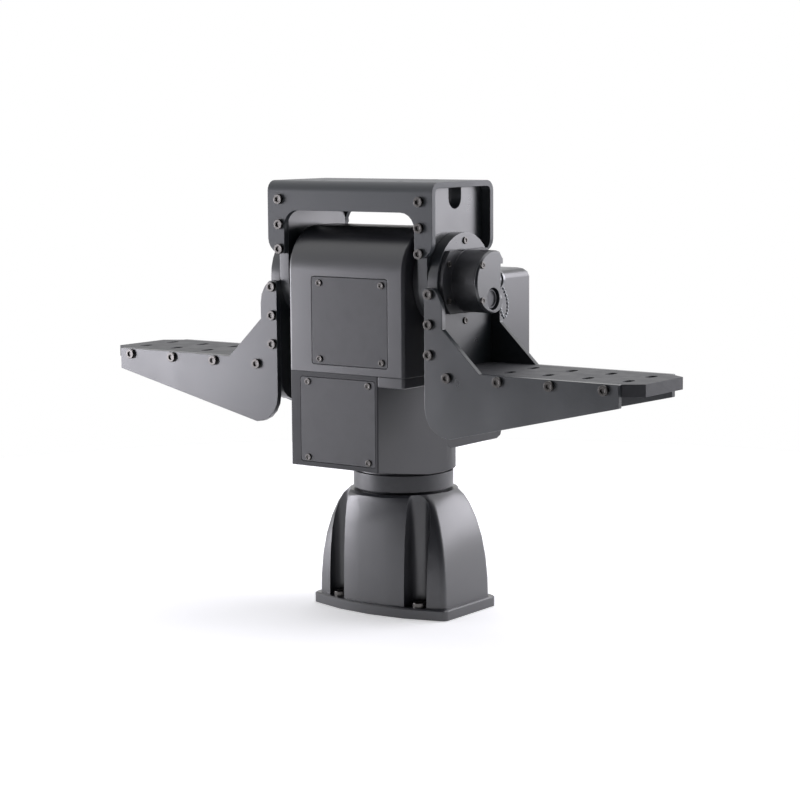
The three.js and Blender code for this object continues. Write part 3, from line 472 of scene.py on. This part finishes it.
class StudioLook(bpy.types.PropertyGroup):
    """Floor, backdrop and lamps."""

    floor: bpy.props.StringProperty(
        name="Floor", description="Colour of the floor in sRGB hex", default="f2f2f2"
    )
    top: bpy.props.FloatProperty(
        name="Top lamp", description="Power of the lamp overhead", default=8, unit="POWER"
    )
    side: bpy.props.FloatProperty(
        name="Side lamp", description="Power of the lamp at the right", default=20, unit="POWER"
    )
    front: bpy.props.FloatProperty(
        name="Front lamp", description="Power of the lamp at the left", default=18, unit="POWER"
    )


# Pieces


class PANTILT_OT_inner_parts(bpy.types.Operator):
    """Paint the bearings, drives and seals that stay as their solids"""

    bl_idname = "pantilt.inner_parts"
    bl_label = "Inner parts"

    def execute(self, context):
        slots = {part["node"]: part["material_slot"] for part in frame["record"]["subparts"]}
        for node, solid in frame["nodes"].items():
            paint(solid, slots[node])
        return {"FINISHED"}


class PANTILT_OT_castings(bpy.types.Operator):
    """Dress the base, the neck ring and the two housings"""

    bl_idname = "pantilt.castings"
    bl_label = "Castings"

    def execute(self, context):
        width = context.scene.pantilt_edges.casting
        castings = (
            "base_casting", "lower_housing", "upper_housing", "rear_housing", "housing_side_flange",
        )
        for node in castings:
            piece = dressed_copy(node, f"{node}_finished", width, segments=3)
            # The lower housing takes the darker copy of the coat, which is painted shade
            finish = "painted_shade_coat" if node == "lower_housing" else "cast_coat"
            fit(piece, body_of(node), finish, replaces=[node])
        neck = dressed_copy("neck_ring", "neck_ring_finished", context.scene.pantilt_edges.turned)
        fit(neck, "base", "black_coat", replaces=["neck_ring"])
        return {"FINISHED"}


class PANTILT_OT_plates(bpy.types.Operator):
    """Dress the folded bracket, the machined plates, the shelves and the gussets"""

    bl_idname = "pantilt.plates"
    bl_label = "Plates"

    def execute(self, context):
        edges = context.scene.pantilt_edges
        nodes = {"top_bracket": edges.sheet}
        finishes = {
            "top_bracket": "brushed_sheet",
            "shelf_left": "blasted_plate",
            "shelf_right": "blasted_plate",
        }
        for side in ("left", "right"):
            nodes[f"end_plate_{side}"] = edges.plate
            nodes[f"side_plate_{side}"] = edges.plate
            nodes[f"shelf_{side}"] = edges.plate
            for end in ("front", "back"):
                nodes[f"gusset_{side}_{end}"] = edges.sheet
        for node, width in nodes.items():
            piece = dressed_copy(node, f"{node}_finished", width)
            finish = finishes.get(node, "plate_coat")
            fit(piece, "cradle", finish, replaces=[node])
        return {"FINISHED"}


class PANTILT_OT_covers(bpy.types.Operator):
    """Dress the flush covers of the housings"""

    bl_idname = "pantilt.covers"
    bl_label = "Covers"

    def execute(self, context):
        for node in ("upper_front_cover", "lower_front_cover", "rear_cover"):
            piece = dressed_copy(node, f"{node}_finished", context.scene.pantilt_edges.sheet)
            fit(piece, "head", "black_coat", replaces=[node])
        return {"FINISHED"}


def raise_rim(cap, rim=2.0, dish_radius=6.6, dish_depth=1.2):
    """Draws the cap's face out into a rim round a shallow dish, in millimetres."""
    edge = max(vertex.co.x for vertex in cap.data.vertices)
    edit(cap)
    select_faces(cap, lambda centre, normal: normal.x > 0.9 and centre.x > edge - 0.1 * MM)
    bpy.ops.transform.translate(value=X * rim * MM)
    leave_edit()
    low, high = (Vector(corner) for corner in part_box("dust_cap"))
    face = Vector((edge + rim * MM, (low.y + high.y) / 2, (low.z + high.z) / 2))
    cut_out(cap, rod("dish", dish_radius, 2 * dish_depth, face, axis=X, sides=40))
    smooth(cap)


class PANTILT_OT_turned_parts(bpy.types.Operator):
    """Dress the hubs, caps and the connector pod"""

    bl_idname = "pantilt.turned_parts"
    bl_label = "Turned parts"

    def execute(self, context):
        width = context.scene.pantilt_edges.turned
        finishes = {
            "tilt_hub_left": "black_coat",
            "tilt_hub_right": "black_coat",
            "side_cap": "black_coat",
            "connector_pod": "black_coat",
            "pod_cover": "plate_coat",
            "dust_cap": "grey_plastic",
        }
        for node, finish in finishes.items():
            piece = dressed_copy(node, f"{node}_finished", width)
            if node == "dust_cap":
                raise_rim(piece)
            fit(piece, "cradle", finish, replaces=[node])
        return {"FINISHED"}


# Screw places, in millimetres. Those on the cradle are measured from the middle of the tilt
# shaft: the side plates' faces lie SIDE_PLATE_FACE to the left and right of it, and those of
# the gussets and of the bracket's flanges FLANGE_FACE in front of it and behind it.

HUB_SCREW_CIRCLE = 33.2
HUB_SCREW_ANGLES = (90, 150, 210, 270, 330, 30)
SIDE_PLATE_FACE = 87.5
FLANGE_FACE = 45
GUSSET_ARM_SCREWS = [(82.4, -8.9), (82.4, -33.6), (82.4, -58.5)]
GUSSET_SHELF_ROW = -76.4
GUSSET_SHELF_SCREWS = (100.3, 149.7, 198.5, 248.2)
BRACKET_SCREW_SIDE = 73.3
BRACKET_SCREW_HEIGHTS = (66.1, 44.8, 23.8)
POD_FACE, POD_SCREW_Y, POD_SCREW_Z = 91.5, 29, 15
LID_FACE, LID_SCREW_Y, LID_SCREW_Z = 116.6, -17.5, 14.5

# From the pan axis: the columns and rows of each cover's screws, its face and where it looks
COVER_SCREWS = {
    "upper": ((-14.4, 50.6), (227.6, 291.8), -99.7, -Y),
    "lower": ((-27.6, 36.3), (142.5, 207.4), -99.7, -Y),
    "rear": ((-29.9, 56.1), (228, 280), 90.9, Y),
}
FOOT_SCREW_X, FOOT_SCREW_Y, FOOT_SEAT = 42.5, 36.5, 9
CONNECTOR_FLANGE = Vector((115.9, -37.5, 295))
FLANGE_SCREW_X, FLANGE_SCREW_Z = 7.6, 10.4


def socket_screw(name, radius, height, key_radius, sunk=1.0, edge_mm=0.35):
    """A socket head drawn on +Z with its seat at the origin, let a little into its plate."""
    head = rod(name, radius, height + sunk, Vector((0, 0, (height - sunk) / 2 * MM)), sides=32)
    cut_out(head, rod("key", key_radius, height, Vector((0, 0, height * MM)), sides=6))
    break_edges(head, edge_mm, angle=40)
    return head


def side_screw_places(side):
    """The screws round the hub of a side plate."""
    places = []
    for angle in HUB_SCREW_ANGLES:
        turn = math.radians(angle)
        offset = Vector((0, math.cos(turn), math.sin(turn))) * HUB_SCREW_CIRCLE * MM
        places.append((TILT + offset + X * side * SIDE_PLATE_FACE * MM, X * side))
    return places


def gusset_screw_places(side, end):
    """The screws of one gusset, three up its arm and four along its shelf."""
    spots = GUSSET_ARM_SCREWS + [(x, GUSSET_SHELF_ROW) for x in GUSSET_SHELF_SCREWS]
    face = end * FLANGE_FACE * MM
    return [(TILT + Vector((side * x * MM, face, z * MM)), Y * end) for x, z in spots]


def bracket_screw_places():
    """The screws through both flanges of the top bracket."""
    places = []
    for end in (-1, 1):
        for side in (-1, 1):
            for height in BRACKET_SCREW_HEIGHTS:
                spot = Vector((side * BRACKET_SCREW_SIDE, end * FLANGE_FACE, height)) * MM
                places.append((TILT + spot, Y * end))
    return places


def pod_screw_places():
    """The screws of the connector pod's flange and of its lid."""
    pod = [
        (POD_FACE, y, z)
        for y in (-POD_SCREW_Y, POD_SCREW_Y)
        for z in (-POD_SCREW_Z, POD_SCREW_Z)
    ]
    lid = [(LID_FACE, LID_SCREW_Y, z) for z in (-LID_SCREW_Z, LID_SCREW_Z)]
    return [(TILT + Vector(spot) * MM, X) for spot in pod + lid]


def foot_screw_places():
    """The screws in the four grooves of the base."""
    return [
        (Vector((x, y, FOOT_SEAT)) * MM, Z)
        for x in (-FOOT_SCREW_X, FOOT_SCREW_X)
        for y in (-FOOT_SCREW_Y, FOOT_SCREW_Y)
    ]


def flange_screw_places():
    """The screws of the accessory connector's flange."""
    return [
        ((CONNECTOR_FLANGE + Vector((x, 0, z))) * MM, Y)
        for x in (-FLANGE_SCREW_X, FLANGE_SCREW_X)
        for z in (-FLANGE_SCREW_Z, FLANGE_SCREW_Z)
    ]


class PANTILT_OT_screws(bpy.types.Operator):
    """Add the socket screws of the cradle, the covers and the base"""

    bl_idname = "pantilt.screws"
    bl_label = "Screws"

    def execute(self, context):
        sizes = context.scene.pantilt_screws
        screw = socket_screw("socket_screw", *sizes.plate)
        for name, side in (("left", -1), ("right", 1)):
            for end_name, end in (("front", -1), ("back", 1)):
                places = gusset_screw_places(side, end)
                self.add(screw, places, f"gusset_screws_{name}_{end_name}", "cradle")
        self.add(screw, bracket_screw_places(), "bracket_screws", "cradle")
        discard(screw)

        small = socket_screw("cover_screw", *sizes.cover)
        for name, side in (("left", -1), ("right", 1)):
            self.add(small, side_screw_places(side), f"side_plate_screws_{name}", "cradle")
        for name, (columns, rows, face, outward) in COVER_SCREWS.items():
            places = [(Vector((x, face, z)) * MM, outward) for x in columns for z in rows]
            self.add(small, places, f"{name}_cover_screws", "head")
        self.add(small, pod_screw_places(), "pod_screws", "cradle")
        discard(small)

        large = socket_screw("foot_screw", *sizes.foot)
        self.add(large, foot_screw_places(), "foot_screws", "base")
        discard(large)
        return {"FINISHED"}

    def add(self, pattern, places, name, body):
        """Puts the pattern at every place and hangs the screws on the body."""
        fit(repeated(pattern, places, name), body, "screw")


class PANTILT_OT_connectors(bpy.types.Operator):
    """Dress the round connectors of the pod and of the base"""

    bl_idname = "pantilt.connectors"
    bl_label = "Connectors"

    def execute(self, context):
        width = context.scene.pantilt_edges.connector
        for node in ("accessory_connector", "base_connector_left", "base_connector_right"):
            piece = dressed_copy(node, f"{node}_finished", width)
            fit(piece, body_of(node), "nickel", replaces=[node])
        return {"FINISHED"}


# The places that the chain hangs through, from end to end, in millimetres
CHAIN_ROUTE = (
    (117.5, -25.2, 290.5), (119, -20.5, 287), (121, -17.6, 277), (122.5, -20, 267),
    (123.4, -26, 263.5), (123.8, -32, 271), (123.4, -35.4, 283.6),
)
BEAD_STRETCH = 1.08


def eased(points, step, parts=24):
    """Places at about equal steps along a Catmull-Rom line through the points."""
    ends = [points[0], *points, points[-1]]
    fine = []
    for before, start, end, after in zip(ends, ends[1:], ends[2:], ends[3:]):
        slope = end - before
        bend = 2 * before - 5 * start + 4 * end - after
        twist = after + 3 * start - before - 3 * end
        for i in range(parts):
            t = i / parts
            fine.append(start + (slope * t + bend * t**2 + twist * t**3) / 2)
    fine.append(points[-1])
    places, passed = [fine[0]], 0.0
    for start, end in zip(fine, fine[1:]):
        passed += (end - start).length
        if passed >= step:
            places.append(end)
            passed = 0.0
    return places


class PANTILT_OT_cap_chain(bpy.types.Operator):
    """Add the bead chain that holds the connector's cap, and the screws of its flange"""

    bl_idname = "pantilt.cap_chain"
    bl_label = "Cap chain"

    def execute(self, context):
        sizes = context.scene.pantilt_chain
        places = eased([Vector(spot) * MM for spot in CHAIN_ROUTE], sizes.step * MM)
        deselect()
        bpy.ops.mesh.primitive_uv_sphere_add(segments=12, ring_count=8, radius=sizes.bead * MM)
        bead = context.active_object
        bead.scale = (1, 1, BEAD_STRETCH)
        settle(bead)
        smooth(bead, angle=60)
        link = rod("link", sizes.wire, sizes.step, Vector((0, 0, 0)), sides=8)
        chain = repeated(bead, [(spot, Z) for spot in places], "cap_chain_beads")
        spans = [((a + b) / 2, (b - a).normalized()) for a, b in zip(places, places[1:])]
        wires = repeated(link, spans, "cap_chain_links")
        discard(bead)
        discard(link)
        deselect()
        wires.select_set(True)
        chain.select_set(True)
        context.view_layer.objects.active = chain
        bpy.ops.object.join()
        chain.name = "cap_chain"
        fit(chain, "cradle", "steel")
        screw = socket_screw("flange_screw", *context.scene.pantilt_screws.flange)
        fit(repeated(screw, flange_screw_places(), "accessory_flange_screws"), "cradle", "steel")
        discard(screw)
        return {"FINISHED"}


# Studio, in metres

FLOOR_RADIUS = 1.0
FLOOR_DROP = 0.0005
FLOOR_LIFT = 0.42
LAMP_COLOUR = "f8f6ff"
ROOM_COLOUR = "f8f8ff"

# Where the camera looks, without its slope
CAMERA_AXIS = (-0.588, 0.809, 0)

# Size, place and target of each lamp
LAMPS = {
    "top": ((1.4, 1.4), (0.2, 0.3, 1.7), (0, 0, 0.2)),
    "side": ((1.4, 1.1), (1.05, 1.55, 0.72), (0, 0, 0.3)),
    "front": ((1.3, 0.5), (-1.57, -0.88, 0.16), (0, 0, 0.2)),
}


def lamp(name, power, size, spot, target):
    """A soft rectangular lamp that looks at a point and stays out of the picture."""
    data = bpy.data.lights.new(name, "AREA")
    data.energy = power
    data.color = from_hex(LAMP_COLOUR)[:3]
    data.shape = "RECTANGLE"
    data.size, data.size_y = size
    piece = bpy.data.objects.new(name, data)
    bpy.context.scene.collection.objects.link(piece)
    piece.location = spot
    piece.rotation_euler = (Vector(target) - Vector(spot)).to_track_quat("-Z", "Y").to_euler()
    piece.visible_camera = False


def make_camera():
    """The photograph's camera, found by fitting its view to the solids."""
    spot = Vector((1.12006, -1.54317, 0.42815))
    right = Vector((0.80893818, 0.58785603, -0.00665597))
    up = Vector((-0.06974624, 0.10720602, 0.99178744))
    forward = Vector((-0.58374179, 0.8018305, -0.12772379))
    data = bpy.data.cameras.new("camera")
    data.lens = 98.21
    data.sensor_width = 36
    data.clip_start, data.clip_end = 0.05, 50
    camera = bpy.data.objects.new("camera", data)
    bpy.context.scene.collection.objects.link(camera)
    turn = Matrix((right, up, -forward)).transposed()
    camera.matrix_world = Matrix.Translation(spot) @ turn.to_4x4()
    bpy.context.scene.camera = camera


def joined(tree, operation, first, second):
    """The output of a maths node that joins two sockets."""
    node = add_node(
        tree, "ShaderNodeMath", settings={"operation": operation}, links={0: first, 1: second}
    )
    return node.outputs[0]


def make_world():
    """A white sweep round the back of the object and a dim room round the camera."""
    world = bpy.data.worlds.new("studio")
    bpy.context.scene.world = world
    world.use_nodes = True
    tree = world.node_tree
    tree.nodes.clear()
    direction = add_node(tree, "ShaderNodeTexCoord").outputs["Generated"]
    depth = add_node(
        tree,
        "ShaderNodeVectorMath",
        settings={"operation": "DOT_PRODUCT"},
        values={1: CAMERA_AXIS},
        links={0: direction},
    )
    # The sweep begins at the camera's sides, and dims below the horizon
    across = add_node(
        tree,
        "ShaderNodeMapRange",
        values={"From Min": -0.42, "From Max": -0.05},
        links={"Value": depth.outputs["Value"]},
    )
    height = add_node(tree, "ShaderNodeSeparateXYZ", links={"Vector": direction})
    above = add_node(
        tree,
        "ShaderNodeMapRange",
        values={"From Min": -0.2, "From Max": 0.0, "To Min": 0.15},
        links={"Value": height.outputs["Z"]},
    )
    sweep = joined(tree, "MULTIPLY", across.outputs["Result"], above.outputs["Result"])
    # White to the camera, and in reflections wherever the sweep is
    path = add_node(tree, "ShaderNodeLightPath").outputs
    mirrored = joined(tree, "MAXIMUM", path["Is Glossy Ray"], path["Is Transmission Ray"])
    behind = joined(tree, "MULTIPLY", mirrored, sweep)
    seen = joined(tree, "MAXIMUM", path["Is Camera Ray"], behind)
    # The room is dim behind the camera and full strength where the sweep is
    level = add_node(
        tree, "ShaderNodeMapRange", values={"To Min": 0.05, "To Max": 1.0}, links={"Value": sweep}
    )
    room = add_node(
        tree,
        "ShaderNodeBackground",
        values={"Color": from_hex(ROOM_COLOUR)},
        links={"Strength": level.outputs["Result"]},
    )
    white = add_node(
        tree, "ShaderNodeBackground", values={"Color": (1, 1, 1, 1), "Strength": 1.0}
    )
    mix = add_node(
        tree, "ShaderNodeMixShader", links={0: seen, 1: room.outputs[0], 2: white.outputs[0]}
    )
    add_node(tree, "ShaderNodeOutputWorld", links={"Surface": mix.outputs[0]})


def floor_material(colour):
    """Matt white paper, lifted to white in the picture so that only the shadow shows."""
    material, tree, surface = new_material("studio_paper")
    path = add_node(tree, "ShaderNodeLightPath").outputs
    paper = add_node(tree, "ShaderNodeBsdfDiffuse", values={"Color": from_hex(colour)})
    seen = joined(tree, "MAXIMUM", path["Is Camera Ray"], path["Is Glossy Ray"])
    strength = add_node(
        tree,
        "ShaderNodeMath",
        settings={"operation": "MULTIPLY"},
        values={1: FLOOR_LIFT},
        links={0: seen},
    )
    lift = add_node(
        tree,
        "ShaderNodeEmission",
        values={"Color": (1, 1, 1, 1)},
        links={"Strength": strength.outputs[0]},
    )
    both = add_node(tree, "ShaderNodeAddShader", links={0: paper.outputs[0], 1: lift.outputs[0]})
    tree.links.new(both.outputs[0], surface)
    return material


class PANTILT_OT_studio(bpy.types.Operator):
    """Add the floor, the lamps, the world and the camera"""

    bl_idname = "pantilt.studio"
    bl_label = "Studio"

    def execute(self, context):
        look = context.scene.pantilt_studio
        deselect()
        bpy.ops.mesh.primitive_circle_add(
            vertices=96, radius=FLOOR_RADIUS, fill_type="NGON", location=(0, 0, -FLOOR_DROP)
        )
        floor = context.active_object
        floor.name = "floor"
        floor.data.materials.append(floor_material(look.floor))
        for name, (size, spot, target) in LAMPS.items():
            lamp(f"{name}_lamp", getattr(look, name), size, spot, target)
        make_world()
        make_camera()
        context.scene.view_settings.view_transform = "Standard"
        return {"FINISHED"}


class PANTILT_PT_panel(bpy.types.Panel):
    """Builds the head step by step"""

    bl_label = "Pan and tilt head"
    bl_idname = "PANTILT_PT_panel"
    bl_space_type = "VIEW_3D"
    bl_region_type = "UI"
    bl_category = "Pan Tilt"

    def draw(self, context):
        for group in GROUPS:
            sizes = getattr(context.scene, group)
            for name in sizes.bl_rna.properties.keys():
                if name not in ("rna_type", "name"):
                    self.layout.prop(sizes, name)
        for operator in OPERATORS:
            self.layout.operator(operator.bl_idname)


OPERATORS = (
    PANTILT_OT_inner_parts,
    PANTILT_OT_castings,
    PANTILT_OT_plates,
    PANTILT_OT_covers,
    PANTILT_OT_turned_parts,
    PANTILT_OT_connectors,
    PANTILT_OT_cap_chain,
    PANTILT_OT_screws,
    PANTILT_OT_studio,
)
GROUPS = {
    "pantilt_edges": EdgeSizes,
    "pantilt_screws": ScrewSizes,
    "pantilt_chain": ChainSizes,
    "pantilt_studio": StudioLook,
}
CLASSES = (*GROUPS.values(), *OPERATORS, PANTILT_PT_panel)


def register():
    """Adds the operators, the panel and the sizes to Blender."""
    for cls in CLASSES:
        bpy.utils.register_class(cls)
    for name, group in GROUPS.items():
        setattr(bpy.types.Scene, name, bpy.props.PointerProperty(type=group))


def unregister():
    """Takes them out again."""
    for name in GROUPS:
        delattr(bpy.types.Scene, name)
    for cls in reversed(CLASSES):
        bpy.utils.unregister_class(cls)


def main():
    """Builds the whole head and its studio."""
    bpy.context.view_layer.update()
    register()
    FINISHES.update(make_materials())
    for operator in OPERATORS:
        group, name = operator.bl_idname.split(".")
        getattr(getattr(bpy.ops, group), name)()


if __name__ == "__main__":
    main()
